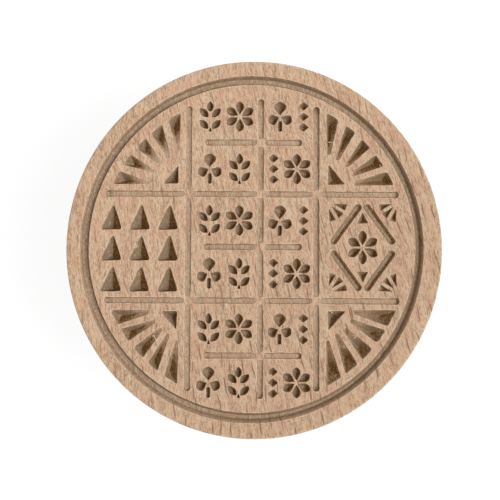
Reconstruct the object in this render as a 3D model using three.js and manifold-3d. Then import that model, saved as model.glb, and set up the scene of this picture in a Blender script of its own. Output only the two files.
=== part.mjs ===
// A round bread stamp of beech: a disc with a carved face, a turned handle on its back and the dowel
// that joins the two. Millimetres, +Z up. The stamp stands on the flat end of its handle, with the
// carved face up and the top of the pattern towards +Y. The origin is the middle of that flat end.
import * as THREE from 'three';
import { ConvexGeometry } from 'three/addons/geometries/ConvexGeometry.js';
import { mergeVertices } from 'three/addons/utils/BufferGeometryUtils.js';
import Module from 'manifold-3d';

const wasm = await Module();
wasm.setup();

// Disc
const discDiameter = 140;
const discThickness = 20;
const acrossGrain = 0.993; // the board has shrunk a little across its grain, which runs along Y
const faceEdgeRound = 0.6;
const backEdgeRound = 3;

// Handle, with heights counted from its flat end
const handleLength = 52;
const footDiameter = 33;
const knobDiameter = 45;
const knobHeight = 16;
const neckDiameter = 25;
const neckHeight = 36;
const collarDiameter = 46;
const collarThickness = 3.5;
const knobPull = 0.45; // how far the turned curves follow each widest and narrowest place, as shares
const neckPull = 0.45;
const flarePull = 0.7;

// Dowel, glued into a blind bore in the disc and one in the handle
const dowelDiameter = 10;
const dowelInDisc = 11;
const dowelInHandle = 24;
const dowelChamfer = 1;
const fluteCount = 14;
const fluteDepth = 0.4;
const glueGap = 0.15;
const glueWell = 0.5;

// Carved field, whose middle lies a little off the disc's own middle
const carvingShift = new THREE.Vector2(-0.85, 0.2);
const rimWidth = 7.6; // from the disc's edge to the middle of the ring groove
const ringWidth = 3.3;
const ringDepth = 2.1;
const ringFloorWidth = 2;
const fieldMargin = 4.5; // from the middle of the ring groove to the ends of lines and rays

// Shallow lines that part the field into cells
const lineWidth = 2.2;
const lineDepth = 0.9;
const lineDraft = 0.35;
const lineGap = 2.8; // wood left standing where two lines would cross
const cellHalfWidth = 23.7;
const dividerOffset = 3.05;
const dividerShortfall = 2.2;
const latticeRise = 0.3;
const rowPitch = 19.73;
const rowDrift = 0.14; // the rows stand wider apart towards the foot of the pattern
const barLeft = 17.8;
const barRight = 18.5;

// Fans of rays in the four corner cells
const rayTipWidth = 1.5;
const rayWidth = 5.2;
const rayDepth = 4;
const rayDeepest = 0.68; // share of the ray's length, from its tip
const fanMargin = 0.8; // from the round field's edge to the rays' wide ends
const cornerChipDepth = 4.2;
const cornerChipDeepest = 0.55; // share of the way from the corner to the long side
// The fans were cut by eye, each ray a little off its place. A place in a corner cell is two shares of
// the way from the cell's lines to the field's edge, sideways and endways. A ray has the place of its
// tip, the angle of its wide end round the field's middle, and its shares of the tip width and width.
const fans = [
  {
    side: -1, end: 1, margin: 1,
    chip: [[0.106, 0.1], [0.28, 0.1], [0.108, 0.285]],
    rays: [
      [0.422, 0.106, 27, 0.79, 1.03],
      [0.38, 0.222, 34.9, 0.83, 0.93],
      [0.32, 0.303, 43.2, 1.38, 0.96],
      [0.21, 0.351, 51.1, 1.09, 0.97],
      [0.11, 0.413, 59.3, 0.79, 0.97],
    ],
  },
  {
    side: 1, end: 1, margin: 0.3,
    chip: [[0.12, 0.094], [0.317, 0.099], [0.133, 0.305]],
    rays: [
      [0.408, 0.106, 26.9, 0.96, 1.07],
      [0.384, 0.194, 34.7, 1.16, 1],
      [0.32, 0.274, 42.8, 1.05, 0.86],
      [0.224, 0.339, 50.7, 0.99, 0.83],
      [0.134, 0.392, 58.9, 0.94, 0.91],
    ],
  },
  {
    side: -1, end: -1, margin: 0.9,
    chip: [[0.108, 0.1], [0.298, 0.101], [0.115, 0.288]],
    rays: [
      [0.418, 0.112, 27, 1.2, 1.11],
      [0.35, 0.202, 34.6, 0.93, 1.05],
      [0.273, 0.268, 43, 0.97, 1.03],
      [0.202, 0.317, 50.6, 0.97, 0.88],
      [0.111, 0.381, 58.8, 0.83, 1.04],
    ],
  },
  {
    side: 1, end: -1, margin: 0,
    chip: [[0.127, 0.093], [0.327, 0.092], [0.129, 0.286]],
    rays: [
      [0.402, 0.102, 26.4, 1.02, 1.27],
      [0.363, 0.182, 34.3, 0.99, 1.1],
      [0.303, 0.264, 42.5, 1.19, 1.06],
      [0.215, 0.309, 50.4, 1.08, 1.09],
      [0.123, 0.375, 58.4, 0.78, 1.13],
    ],
  },
];

// Block of triangular chips in the left cell
const chipRows = 3;
const chipColumns = 3;
const chipPitchX = 10.45;
const chipPitchY = 11.45;
const chipWidth = 7.2;
const chipHeight = 9.7;
const chipDrop = 0.4; // how far the middle row's middle lies below the middle line
const chipDepth = 5.2;
const chipBaseWall = 0.9; // run of the steep wall behind the base
const chipLean = 0.5; // how far the apex leans to the right
const chipInset = 7.5; // from the cell's line to the nearest column

// Small motifs in the middle cells
const motifWidth = 9.1;
const motifHeight = 11.5;
const motifGap = 2;
const motifRise = 9.8; // from a short bar to the middles of the motifs above and below it
const motifDepth = 3.3;
const plumpness = 0.7; // 1 gives slim leaves with sharp ends, smaller values give fuller ones
const grainWidth = 2.75;
const grainWidest = 0.5;
const earTip = 4;
const earTipWidest = 0.45;
const earFoot = 1.1;
const earPitch = 4.4;
const earHalfStem = 0.65;
const earStalk = 1.9;
const stalkDeepest = 0.37; // share of the stalk's height, from its foot
const petalCount = 6;
const petalWidth = 3.3;
const petalWidest = 0.6;
const petalStart = 0.8;
const topLeafWidth = 4.9;
const topLeafLength = 5.2;
const sideLeafWidth = 4.1;
const sideLeafLength = 4.3;
const sideLeafDroop = 25; // degrees below the horizontal
const leafWidest = 0.62;
const leafStart = 0.5;
const stalkStart = 2.45; // below the point where the three leaves meet
const stalkWidth = 1.6;
const stalkDepth = 2.2;
const lozengeWidth = 4.3;
const lozengeCount = 3;
const lozengeGap = 0.45;

// Ornament in the right cell: a lozenge frame round a rosette, with small fans at its corners
const ornamentInset = 17.2;
const frameHalfWidth = 12.4;
const frameHalfHeight = 17.2;
const frameWidth = 2.8;
const frameDepth = 2.6;
const frameCornerGap = 2.9;
const ornamentRosette = 6.3;
const endChipWidth = 4.4;
const endChipHeight = 4.3;
const endChipDepth = 2.8;
const endChipStart = 8.9;
const smallFanX = 13.3;
const smallFanY = 17;
const smallFanAngles = [17, 45, 73];
const smallFanStart = 2.3;
const smallFanEnd = 7.6;
const smallFanWidth = 2.7;
const smallFanDepth = 2.4;

// Fineness of the faceted solids
const discFacets = 120;
const handleFacets = 48;
const boreFacets = 32;
const leafSteps = 6;
const endSteps = 4;
const cutterOverrun = 1;

const faceHeight = handleLength + discThickness;
const ringRadius = discDiameter / 2 - rimWidth;
const fieldRadius = ringRadius - fieldMargin;

const beechFace = new THREE.MeshStandardMaterial({ color: 0xcfae8f, roughness: 0.62, metalness: 0 });
const beechTurned = new THREE.MeshStandardMaterial({ color: 0xc9a585, roughness: 0.5, metalness: 0 });
const beechDowel = new THREE.MeshStandardMaterial({ color: 0xd6b894, roughness: 0.7, metalness: 0 });

// Solids and meshes

function solidOf(geometry) {
  const bare = geometry.clone();
  bare.deleteAttribute('normal');
  bare.deleteAttribute('uv');
  const merged = mergeVertices(bare, 1e-4);
  return new wasm.Manifold(
    new wasm.Mesh({
      numProp: 3,
      vertProperties: merged.attributes.position.array,
      triVerts: new Uint32Array(merged.index.array),
    }),
  );
}

function meshOf(name, solid, material) {
  const made = solid.getMesh();
  const geometry = new THREE.BufferGeometry();
  geometry.setAttribute('position', new THREE.BufferAttribute(made.vertProperties, 3));
  geometry.setIndex(new THREE.BufferAttribute(made.triVerts, 1));
  geometry.computeVertexNormals();
  const mesh = new THREE.Mesh(geometry, material);
  mesh.name = name;
  return mesh;
}

function turned(profile, facets) {
  const geometry = new THREE.LatheGeometry(profile, facets);
  geometry.rotateX(Math.PI / 2);
  return solidOf(geometry);
}

function bore(fromHeight, toHeight) {
  const radius = dowelDiameter / 2 + glueGap;
  const geometry = new THREE.CylinderGeometry(radius, radius, toHeight - fromHeight, boreFacets);
  geometry.rotateX(Math.PI / 2);
  geometry.translate(0, 0, (fromHeight + toHeight) / 2);
  return solidOf(geometry);
}

// Cuts: each is the convex solid between an outline on the face and the points of its floor

function cutter(outline, floor) {
  const points = [];
  for (const p of outline) {
    const x = p.x + carvingShift.x;
    const y = p.y + carvingShift.y;
    points.push(new THREE.Vector3(x, y, faceHeight));
    points.push(new THREE.Vector3(x, y, faceHeight + cutterOverrun));
  }
  for (const p of floor) {
    points.push(new THREE.Vector3(p.x + carvingShift.x, p.y + carvingShift.y, faceHeight - p.depth));
  }
  return solidOf(new ConvexGeometry(points));
}

function at(x, y) {
  return new THREE.Vector2(x, y);
}

function between(a, b, share) {
  return a.clone().lerp(b, share);
}

function turnedBy(degrees, length) {
  const angle = THREE.MathUtils.degToRad(degrees);
  return at(length * Math.cos(angle), length * Math.sin(angle));
}

function lowered(point, depth) {
  return { x: point.x, y: point.y, depth };
}

// A stroke with round ends, whose floor runs at one depth, drawn in from the outline all round.
function strokeCut(from, to, width, depth, draft) {
  const heading = to.clone().sub(from).angle();
  const ends = (radius) => {
    const points = [];
    for (const [middle, turn] of [[to, -Math.PI / 2], [from, Math.PI / 2]]) {
      for (let i = 0; i <= endSteps; i++) {
        const angle = heading + turn + (Math.PI * i) / endSteps;
        points.push(at(middle.x + radius * Math.cos(angle), middle.y + radius * Math.sin(angle)));
      }
    }
    return points;
  };
  const inner = width / 2 - draft;
  const floor = inner > 0 ? ends(inner) : [from, to];
  return cutter(ends(width / 2), floor.map((p) => lowered(p, depth)));
}

// A plump leaf from one point to another, widest at a share of its length and deepest there.
function leafCut(from, to, width, widest, depth) {
  const along = to.clone().sub(from);
  const across = at(-along.y, along.x).normalize();
  const bend = Math.log(0.5) / Math.log(widest);
  const outline = [from, to];
  for (let i = 1; i < leafSteps; i++) {
    const share = i / leafSteps;
    const half = (width / 2) * Math.sin(Math.PI * share ** bend) ** plumpness;
    const middle = between(from, to, share);
    outline.push(middle.clone().addScaledVector(across, half));
    outline.push(middle.clone().addScaledVector(across, -half));
  }
  const floor = [
    lowered(between(from, to, widest / 2), depth * 0.75),
    lowered(between(from, to, widest), depth),
    lowered(between(from, to, (1 + widest) / 2), depth * 0.75),
  ];
  return cutter(outline, floor);
}

// A chip with straight sides that all fall to one deepest point.
function chipCut(corners, deepest, depth) {
  return cutter(corners, [lowered(deepest, depth)]);
}

// Lines of the lattice

function lineCut(from, to) {
  const direction = to.clone().sub(from).normalize();
  const a = from.clone().addScaledVector(direction, lineWidth / 2);
  const b = to.clone().addScaledVector(direction, -lineWidth / 2);
  return strokeCut(a, b, lineWidth, lineDepth, lineDraft);
}

// A line from one end to the other that stops short on both sides of each crossing.
function brokenLine(from, to, crossings, place) {
  const inside = crossings.filter((c) => c > from + lineGap && c < to - lineGap);
  const starts = [from, ...inside.map((c) => c + lineGap / 2)];
  const stops = [...inside.map((c) => c - lineGap / 2), to];
  return starts.map((start, i) => lineCut(place(start), place(stops[i])));
}

function upright(x, shortfall, crossings) {
  const reach = Math.sqrt(fieldRadius ** 2 - x ** 2) - shortfall;
  return brokenLine(-reach, reach, crossings, (y) => at(x, y));
}

function rowHeight(k) {
  return latticeRise + k * rowPitch - k * k * rowDrift;
}

function latticeCuts() {
  const rowHeights = [-2, -1, 0, 1, 2].map(rowHeight);
  const longRows = [rowHeights[1], rowHeights[3]];
  const shortRows = [rowHeights[0], rowHeights[2], rowHeights[4]];
  const uprights = [-cellHalfWidth, dividerOffset, cellHalfWidth];
  const cuts = [
    ...upright(-cellHalfWidth, 0, longRows),
    ...upright(dividerOffset, dividerShortfall, rowHeights),
    ...upright(cellHalfWidth, 0, longRows),
  ];
  for (const y of longRows) {
    const reach = Math.sqrt(fieldRadius ** 2 - y ** 2);
    cuts.push(...brokenLine(-reach, reach, uprights, (x) => at(x, y)));
  }
  for (const y of shortRows) {
    cuts.push(...brokenLine(-barLeft, barRight, [dividerOffset], (x) => at(x, y)));
  }
  return cuts;
}

// Rays: each narrows from the field's edge to a tip near the cell's corner

function reachToCircle(origin, direction, radius) {
  const along = origin.dot(direction);
  return -along + Math.sqrt(along ** 2 - origin.lengthSq() + radius ** 2);
}

function placeInCell(fan, [sideways, endways]) {
  const row = rowHeight(fan.end);
  const x = cellHalfWidth + sideways * (fieldRadius - cellHalfWidth);
  const y = row + fan.end * endways * (fieldRadius - Math.abs(row));
  return at(fan.side * x, y);
}

function rayCut(fan, [sideways, endways, degrees, tipShare, widthShare]) {
  const radius = fieldRadius - fan.margin * fanMargin;
  const tip = placeInCell(fan, [sideways, endways]);
  const back = turnedBy(degrees, radius).multiply(at(fan.side, fan.end));
  const direction = back.sub(tip).normalize();
  const across = at(-direction.y, direction.x);
  const beside = (point, offset) => point.clone().addScaledVector(across, offset);
  const halfTip = (tipShare * rayTipWidth) / 2;
  const half = (widthShare * rayWidth) / 2;
  const outer = [-half, half].map((offset) => {
    const origin = beside(tip, offset);
    return origin.clone().addScaledVector(direction, reachToCircle(origin, direction, radius));
  });
  const deepest = between(tip, between(outer[0], outer[1], 0.5), rayDeepest);
  return chipCut([beside(tip, -halfTip), beside(tip, halfTip), ...outer], deepest, rayDepth);
}

function fanCuts(fan) {
  const cuts = fan.rays.map((ray) => rayCut(fan, ray));
  const [corner, ...legs] = fan.chip.map((place) => placeInCell(fan, place));
  const deepest = between(corner, between(legs[0], legs[1], 0.5), cornerChipDeepest);
  cuts.push(chipCut([corner, ...legs], deepest, cornerChipDepth));
  return cuts;
}

// Triangular chips in rows

function chipBlockCuts() {
  const cuts = [];
  for (let row = 0; row < chipRows; row++) {
    for (let column = 0; column < chipColumns; column++) {
      const x = -cellHalfWidth - chipInset - column * chipPitchX;
      const middle = rowHeight(0) - chipDrop + (row - (chipRows - 1) / 2) * chipPitchY;
      const base = middle - chipHeight / 2;
      const corners = [
        at(x - chipWidth / 2, base),
        at(x + chipWidth / 2, base),
        at(x + chipLean, base + chipHeight),
      ];
      cuts.push(chipCut(corners, at(x, base + chipBaseWall), chipDepth));
    }
  }
  return cuts;
}

// Small motifs, each centred on a point of the middle cells

function earCuts(middle) {
  const put = (x, y) => at(middle.x + x, middle.y + y);
  const top = motifHeight / 2;
  const inner = earHalfStem;
  const outer = motifWidth / 2 - earHalfStem;
  const rise = outer - inner;
  const cuts = [leafCut(put(0, top - earTip), put(0, top), grainWidth, earTipWidest, motifDepth)];
  for (const base of [earFoot - top, earFoot + earPitch - top]) {
    for (const side of [-1, 1]) {
      const from = put(side * inner, base);
      const to = put(side * outer, base + rise);
      cuts.push(leafCut(from, to, grainWidth, grainWidest, motifDepth));
    }
  }
  const stalk = [put(-stalkWidth / 2, -top), put(stalkWidth / 2, -top), put(0, earStalk - top)];
  cuts.push(chipCut(stalk, put(0, stalkDeepest * earStalk - top), stalkDepth));
  return cuts;
}

function rosetteCuts(middle, radius) {
  const cuts = [];
  for (let i = 0; i < petalCount; i++) {
    const degrees = 90 + (360 / petalCount) * i;
    const from = turnedBy(degrees, petalStart).add(middle);
    const to = turnedBy(degrees, radius).add(middle);
    cuts.push(leafCut(from, to, petalWidth, petalWidest, motifDepth));
  }
  return cuts;
}

function cloverCuts(middle) {
  const heart = at(middle.x, middle.y + motifHeight / 2 - leafStart - topLeafLength);
  const leaves = [
    { degrees: 90, length: topLeafLength, width: topLeafWidth },
    { degrees: 180 + sideLeafDroop, length: sideLeafLength, width: sideLeafWidth },
    { degrees: -sideLeafDroop, length: sideLeafLength, width: sideLeafWidth },
  ];
  const cuts = leaves.map(({ degrees, length, width }) => {
    const from = turnedBy(degrees, leafStart).add(heart);
    const to = turnedBy(degrees, leafStart + length).add(heart);
    return leafCut(from, to, width, leafWidest, motifDepth);
  });
  const top = at(heart.x, heart.y - stalkStart);
  const foot = at(heart.x, middle.y - motifHeight / 2 + stalkWidth / 2);
  cuts.push(strokeCut(top, foot, stalkWidth, stalkDepth, stalkWidth / 2));
  return cuts;
}

function lozengeColumnCuts(middle) {
  const height = (motifHeight - (lozengeCount - 1) * lozengeGap) / lozengeCount;
  const cuts = [];
  for (let i = 0; i < lozengeCount; i++) {
    const y = middle.y - motifHeight / 2 + height / 2 + i * (height + lozengeGap);
    const corners = [
      at(middle.x - lozengeWidth / 2, y),
      at(middle.x, y - height / 2),
      at(middle.x + lozengeWidth / 2, y),
      at(middle.x, y + height / 2),
    ];
    cuts.push(chipCut(corners, at(middle.x, y), motifDepth));
  }
  return cuts;
}

function motifCuts() {
  const cuts = [];
  const leftMiddle = (-cellHalfWidth + dividerOffset) / 2;
  const rightMiddle = (cellHalfWidth + dividerOffset) / 2;
  const pairOffset = (motifWidth + motifGap) / 2;
  const wideOffset = (motifGap + lozengeWidth) / 2;
  const narrowOffset = (motifWidth + motifGap) / 2;
  const rosetteRadius = motifHeight / 2;
  for (const cell of [-1, 0, 1]) {
    for (const half of [-1, 1]) {
      const y = rowHeight(2 * cell) + half * motifRise;
      const left = at(leftMiddle - pairOffset, y);
      const right = at(leftMiddle + pairOffset, y);
      const wide = at(rightMiddle - half * wideOffset, y);
      const narrow = at(rightMiddle + half * narrowOffset, y);
      cuts.push(...(half === 1 ? earCuts(left) : cloverCuts(left)));
      cuts.push(...(half === 1 ? rosetteCuts(right, rosetteRadius) : earCuts(right)));
      cuts.push(...(half === 1 ? cloverCuts(wide) : rosetteCuts(wide, rosetteRadius)));
      cuts.push(...lozengeColumnCuts(narrow));
    }
  }
  return cuts;
}

// Ornament of the right cell

function ornamentCuts() {
  const middle = at(cellHalfWidth + ornamentInset, rowHeight(0));
  const cuts = rosetteCuts(middle, ornamentRosette);
  for (const side of [-1, 1]) {
    for (const end of [-1, 1]) {
      const put = (x, y) => at(middle.x + side * x, middle.y + end * y);
      const point = put(0, frameHalfHeight);
      const waist = put(frameHalfWidth, 0);
      const trim = frameCornerGap / point.distanceTo(waist);
      const from = between(point, waist, trim);
      const to = between(waist, point, trim);
      cuts.push(strokeCut(from, to, frameWidth, frameDepth, frameWidth / 2));
      const focus = put(smallFanX, smallFanY);
      for (const degrees of smallFanAngles) {
        const direction = turnedBy(degrees, 1).multiply(at(-side, -end));
        const across = at(-direction.y, direction.x);
        const tip = focus.clone().addScaledVector(direction, smallFanStart);
        const back = focus.clone().addScaledVector(direction, smallFanEnd);
        const corners = [-1, 1].map((s) => back.clone().addScaledVector(across, (s * smallFanWidth) / 2));
        cuts.push(chipCut([tip, ...corners], between(tip, back, rayDeepest), smallFanDepth));
      }
    }
  }
  for (const end of [-1, 1]) {
    const corners = [
      at(middle.x - endChipWidth / 2, middle.y + end * endChipStart),
      at(middle.x + endChipWidth / 2, middle.y + end * endChipStart),
      at(middle.x, middle.y + end * (endChipStart + endChipHeight)),
    ];
    const deepest = at(middle.x, middle.y + end * (endChipStart + endChipHeight / 3));
    cuts.push(chipCut(corners, deepest, endChipDepth));
  }
  return cuts;
}

// The ring groove, a round gutter with sloping walls

function ringCut() {
  const half = ringWidth / 2;
  const halfFloor = ringFloorWidth / 2;
  const profile = [
    at(ringRadius - half, faceHeight),
    at(ringRadius - halfFloor, faceHeight - ringDepth),
    at(ringRadius + halfFloor, faceHeight - ringDepth),
    at(ringRadius + half, faceHeight),
    at(ringRadius + half, faceHeight + cutterOverrun),
    at(ringRadius - half, faceHeight + cutterOverrun),
    at(ringRadius - half, faceHeight),
  ];
  const ring = turned(profile, discFacets).scale([acrossGrain, 1, 1]);
  return ring.translate([carvingShift.x, carvingShift.y, 0]);
}

// The three pieces

function stampDisc() {
  const radius = discDiameter / 2;
  const outline = new THREE.Path();
  outline.moveTo(0, handleLength);
  outline.lineTo(radius - backEdgeRound, handleLength);
  outline.absarc(radius - backEdgeRound, handleLength + backEdgeRound, backEdgeRound, -Math.PI / 2, 0);
  outline.lineTo(radius, faceHeight - faceEdgeRound);
  outline.absarc(radius - faceEdgeRound, faceHeight - faceEdgeRound, faceEdgeRound, 0, Math.PI / 2);
  outline.lineTo(0, faceHeight);
  const cuts = [
    ringCut(),
    ...latticeCuts(),
    ...fans.flatMap(fanCuts),
    ...chipBlockCuts(),
    ...motifCuts(),
    ...ornamentCuts(),
  ];
  const blank = turned(outline.getPoints(1), discFacets).scale([acrossGrain, 1, 1]);
  const carved = cuts.reduce((wood, cut) => wood.subtract(cut), blank);
  const dowelBore = bore(handleLength - cutterOverrun, handleLength + dowelInDisc + glueWell);
  return meshOf('stamp_disc', carved.subtract(dowelBore), beechFace);
}

function handle() {
  const foot = footDiameter / 2;
  const knob = knobDiameter / 2;
  const neck = neckDiameter / 2;
  const collar = collarDiameter / 2;
  const collarFoot = handleLength - collarThickness;
  const outline = new THREE.Path();
  outline.moveTo(0, 0);
  outline.lineTo(foot, 0);
  outline.bezierCurveTo((foot + knob) / 2, 0, knob, knobHeight * (1 - knobPull), knob, knobHeight);
  outline.bezierCurveTo(
    knob, knobHeight + (neckHeight - knobHeight) * knobPull,
    neck, neckHeight - (neckHeight - knobHeight) * neckPull,
    neck, neckHeight,
  );
  outline.bezierCurveTo(
    neck, neckHeight + (collarFoot - neckHeight) * flarePull,
    collar - (collar - neck) * neckPull, collarFoot,
    collar, collarFoot,
  );
  outline.lineTo(collar, handleLength);
  outline.lineTo(0, handleLength);
  const body = turned(outline.getPoints(7), handleFacets);
  const dowelBore = bore(handleLength - dowelInHandle - glueWell, handleLength + cutterOverrun);
  return meshOf('handle', body.subtract(dowelBore), beechTurned);
}

function handleDowel() {
  const length = dowelInDisc + dowelInHandle;
  const section = new THREE.Shape();
  const steps = fluteCount * 2;
  for (let i = 0; i < steps; i++) {
    const angle = (2 * Math.PI * i) / steps;
    const radius = dowelDiameter / 2 - (i % 2) * fluteDepth - dowelChamfer / 2;
    const x = radius * Math.cos(angle);
    const y = radius * Math.sin(angle);
    if (i === 0) section.moveTo(x, y);
    else section.lineTo(x, y);
  }
  section.closePath();
  const geometry = new THREE.ExtrudeGeometry(section, {
    depth: length - 2 * dowelChamfer,
    bevelThickness: dowelChamfer,
    bevelSize: dowelChamfer / 2,
    bevelSegments: 1,
  });
  geometry.translate(0, 0, handleLength - dowelInHandle + dowelChamfer);
  return meshOf('handle_dowel', solidOf(geometry), beechDowel);
}

const breadStamp = new THREE.Group();
breadStamp.add(stampDisc(), handle(), handleDowel());

export default breadStamp;
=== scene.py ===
"""A round bread stamp of beech, standing on its turned handle with the carved face up."""

import math

import bpy
import numpy as np
from mathutils import Matrix, Vector
from mathutils.geometry import delaunay_2d_cdt


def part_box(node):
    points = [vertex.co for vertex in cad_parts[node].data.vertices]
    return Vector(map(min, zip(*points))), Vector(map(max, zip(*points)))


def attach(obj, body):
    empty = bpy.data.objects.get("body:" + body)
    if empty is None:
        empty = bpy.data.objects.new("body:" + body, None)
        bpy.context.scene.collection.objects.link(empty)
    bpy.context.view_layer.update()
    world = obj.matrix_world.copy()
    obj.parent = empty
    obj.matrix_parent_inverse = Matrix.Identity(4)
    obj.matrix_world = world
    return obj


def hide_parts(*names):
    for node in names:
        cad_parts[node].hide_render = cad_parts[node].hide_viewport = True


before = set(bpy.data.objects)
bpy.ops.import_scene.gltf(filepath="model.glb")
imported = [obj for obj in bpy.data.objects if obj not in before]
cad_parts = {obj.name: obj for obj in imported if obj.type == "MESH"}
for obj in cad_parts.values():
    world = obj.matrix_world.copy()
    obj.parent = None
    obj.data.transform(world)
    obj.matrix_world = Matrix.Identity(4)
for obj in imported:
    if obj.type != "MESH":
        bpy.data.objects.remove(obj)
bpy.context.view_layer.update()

# Carved disc. A round board of plain beech, sawn and sanded flat, whose face is carved by hand with a ring
# groove, shallow lines that part it into cells, and deep chips. Lengths are millimetres from the middle of
# the carving, and the cuts are gathered first.
MM = 0.001
disc_low, disc_high = (np.array(corner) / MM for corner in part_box("stamp_disc"))
disc_radius = (disc_high[1] - disc_low[1]) / 2
oval = np.array([(disc_high[0] - disc_low[0]) / (disc_high[1] - disc_low[1]), 1.0])
face_height = disc_high[2]
carving_middle = np.array([-0.85, 0.2])
edge_to_ring, ring_to_field = 7.6, 4.5
ring_radius = disc_radius - edge_to_ring
field_radius = ring_radius - ring_to_field
ring_width, ring_depth = 3.3, 2.1
cell_half_width, divider = 23.7, 3.05
middle_row, row_pitch, row_narrowing = 0.3, 19.73, 0.14
row_heights = [middle_row + row_pitch * k - row_narrowing * k * k for k in (-2, -1, 0, 1, 2)]
cuts = []


def drift(points, wavelength, seed):
    """Sum of seven sine waves that run in random directions, about one wavelength long, scaled to +-1."""
    waves = 7
    rng = np.random.default_rng(seed)
    heading = rng.uniform(0, 2 * np.pi, waves)
    pace = 2 * np.pi / (wavelength * rng.uniform(0.7, 1.4, waves))
    run = np.stack([np.cos(heading) * pace, np.sin(heading) * pace])
    return np.sin(points @ run + rng.uniform(0, 2 * np.pi, waves)).mean(axis=-1) * 1.6


def add_cut(outline, floor, depth, wall, waver=0.06, tone=1.0):
    """Keep a cut: its outline, run counter-clockwise and moved a little by a slow drift, and its floor.

    Every point of the outline has its own point of the floor, to which the wall below it falls. The tone
    is the share of painted shade in the cut, and with it how torn and rough its wood looks.
    """
    after = np.roll(outline, -1, axis=0)
    turn = np.sum(outline[:, 0] * after[:, 1] - outline[:, 1] * after[:, 0])
    depth = np.broadcast_to(np.asarray(depth, float), len(outline)).copy()
    if turn < 0:
        outline, floor, depth = outline[::-1], floor[::-1], depth[::-1]
    shift = np.stack([drift(outline, 3.4, seed) for seed in (11, 12)], axis=1) * waver
    cuts.append((outline + shift, floor, depth, wall, tone))


# Carved disc: the lattice of shallow lines. A router cut them freehand along a rule, and lifted out just
# before it met another line, so that a little island of the face is left standing at each crossing.
line_width, line_depth, line_gap = 2.35, 0.7, 2.8
# The level and upright tones are the shares of painted shade in the floors of the level and upright lines.
level_tone, upright_tone, upright_shift = 0.76, 0.95, 0.08
bar_ends = -17.8, 18.5
# The ends of a stroke, as (bulge, swell, sink): plain, where the cutter plunged in, and where it ran out.
PLAIN = (1.0, 0.0, 0.0)
PLUNGE = (1.0, 0.1, 0.9)
RUN_OUT = (0.35, -0.12, -0.6)


def router(share):
    """Depth share of a shallow line cut by a round-nosed router: steep walls, 1 - (1 - share)^4."""
    return 1 - (1 - share) ** 4


def add_stroke(start, stop, width, depth, wall, step=0.8, ends=(PLAIN, PLAIN), tone=1.0):
    """A stroke from tip to tip whose floor is its middle line.

    Each end is (bulge, swell, sink): its cap is an ellipse that bulges by that share of the half width;
    width and depth grow there by shares that fade as exp(-(distance / 1.2)^2).
    """
    radius, fade_length = width / 2, 1.2
    start, stop = np.array(start, float), np.array(stop, float)
    along = (stop - start) / np.linalg.norm(stop - start)
    start, stop = start + radius * ends[0][0] * along, stop - radius * ends[1][0] * along
    length = np.linalg.norm(stop - start)
    across = np.array([-along[1], along[0]])
    run = np.linspace(0, length, max(3, int(length / step) + 1))
    cap = np.linspace(-np.pi / 2, np.pi / 2, 10)[1:-1]
    t = np.concatenate([run, length + radius * ends[1][0] * np.cos(cap), run[::-1],
                        -radius * ends[0][0] * np.cos(cap)])
    w = np.concatenate([-1 + 0 * run, np.sin(cap), 1 + 0 * run, -np.sin(cap)])
    fades = np.exp(-((np.stack([t, length - t]).clip(0) / fade_length) ** 2))
    swell, sink = (1 + sum(end[k] * fade for end, fade in zip(ends, fades)) for k in (1, 2))
    outline = start + t[:, None] * along + (w * radius * swell)[:, None] * across
    floor = start + np.clip(t, 0, length)[:, None] * along
    add_cut(outline, floor, depth * sink, wall, tone=tone)


def broken_line(first, last, crossings, place, depth, tone):
    """Strokes from first to last that stop short by half a gap on both sides of each crossing."""
    inside = [c for c in crossings if first < c < last]
    starts = [first] + [c + line_gap / 2 for c in inside]
    stops = [c - line_gap / 2 for c in inside] + [last]
    for a, b in zip(starts, stops):
        ends = PLUNGE if a == first else RUN_OUT, PLUNGE if b == last else RUN_OUT
        add_stroke(place(a), place(b), line_width, depth, router, ends=ends, tone=tone)


for x, shortfall, crossings, depth in (
    (-cell_half_width, 0.0, row_heights[1::2], 0.65),
    (divider, 2.2, row_heights, 0.8),
    (cell_half_width, 0.0, row_heights[1::2], 1.0),
):
    reach = math.sqrt(field_radius**2 - x**2) - shortfall
    broken_line(-reach, reach, crossings, lambda y: (x + upright_shift, y), depth, upright_tone)
for y in row_heights[1::2]:
    reach = math.sqrt(field_radius**2 - y**2)
    crossings = (-cell_half_width, divider, cell_half_width)
    broken_line(-reach, reach, crossings, lambda x: (x, y), line_depth, level_tone)
for y in row_heights[0::2]:
    broken_line(*bar_ends, (divider,), lambda x: (x, y), line_depth, level_tone)

# Carved disc: the fans of the corner cells. Each ray is a long chip, scooped outwards from its tip to a
# stop cut, and a small chip fills the corner that the rays open from. All were cut by eye, none alike.
valley_shift, least_reach = 0.4, 0.04
ray_trim, ray_steps = 0.95, 12
corner_chip_depth, corner_chip_middle = 4.2, 0.55


def turned_by(degrees):
    """Unit vector at an angle from +X."""
    return np.array([math.cos(math.radians(degrees)), math.sin(math.radians(degrees))])


def knife(share):
    """Depth share of a knife-cut wall: 0.13 (1 - exp(-share / 0.04)) at the outline, and then straight."""
    return 0.13 * (1 - np.exp(-share / 0.04)) + 0.87 * share


def rounded(corners, trim, steps):
    """Outline of a polygon whose corners are parabolas.

    They start a trim away from the corner, or at 0.4 of the side where that is less.
    """
    def cut_back(side):
        return side * min(trim / np.linalg.norm(side), 0.4)

    corners = np.array(corners, float)
    outline = []
    for before, corner, after in zip(np.roll(corners, 1, axis=0), corners, np.roll(corners, -1, axis=0)):
        p = corner + cut_back(before - corner)
        q = corner + cut_back(after - corner)
        next_p = after - cut_back(after - corner)
        t = np.linspace(0, 1, 5)[:, None]
        outline.append((1 - t) ** 2 * p + 2 * t * (1 - t) * corner + t**2 * q)
        outline.append(q + (next_p - q) * np.linspace(0, 1, steps)[1:-1, None])
    return np.concatenate(outline)


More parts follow.
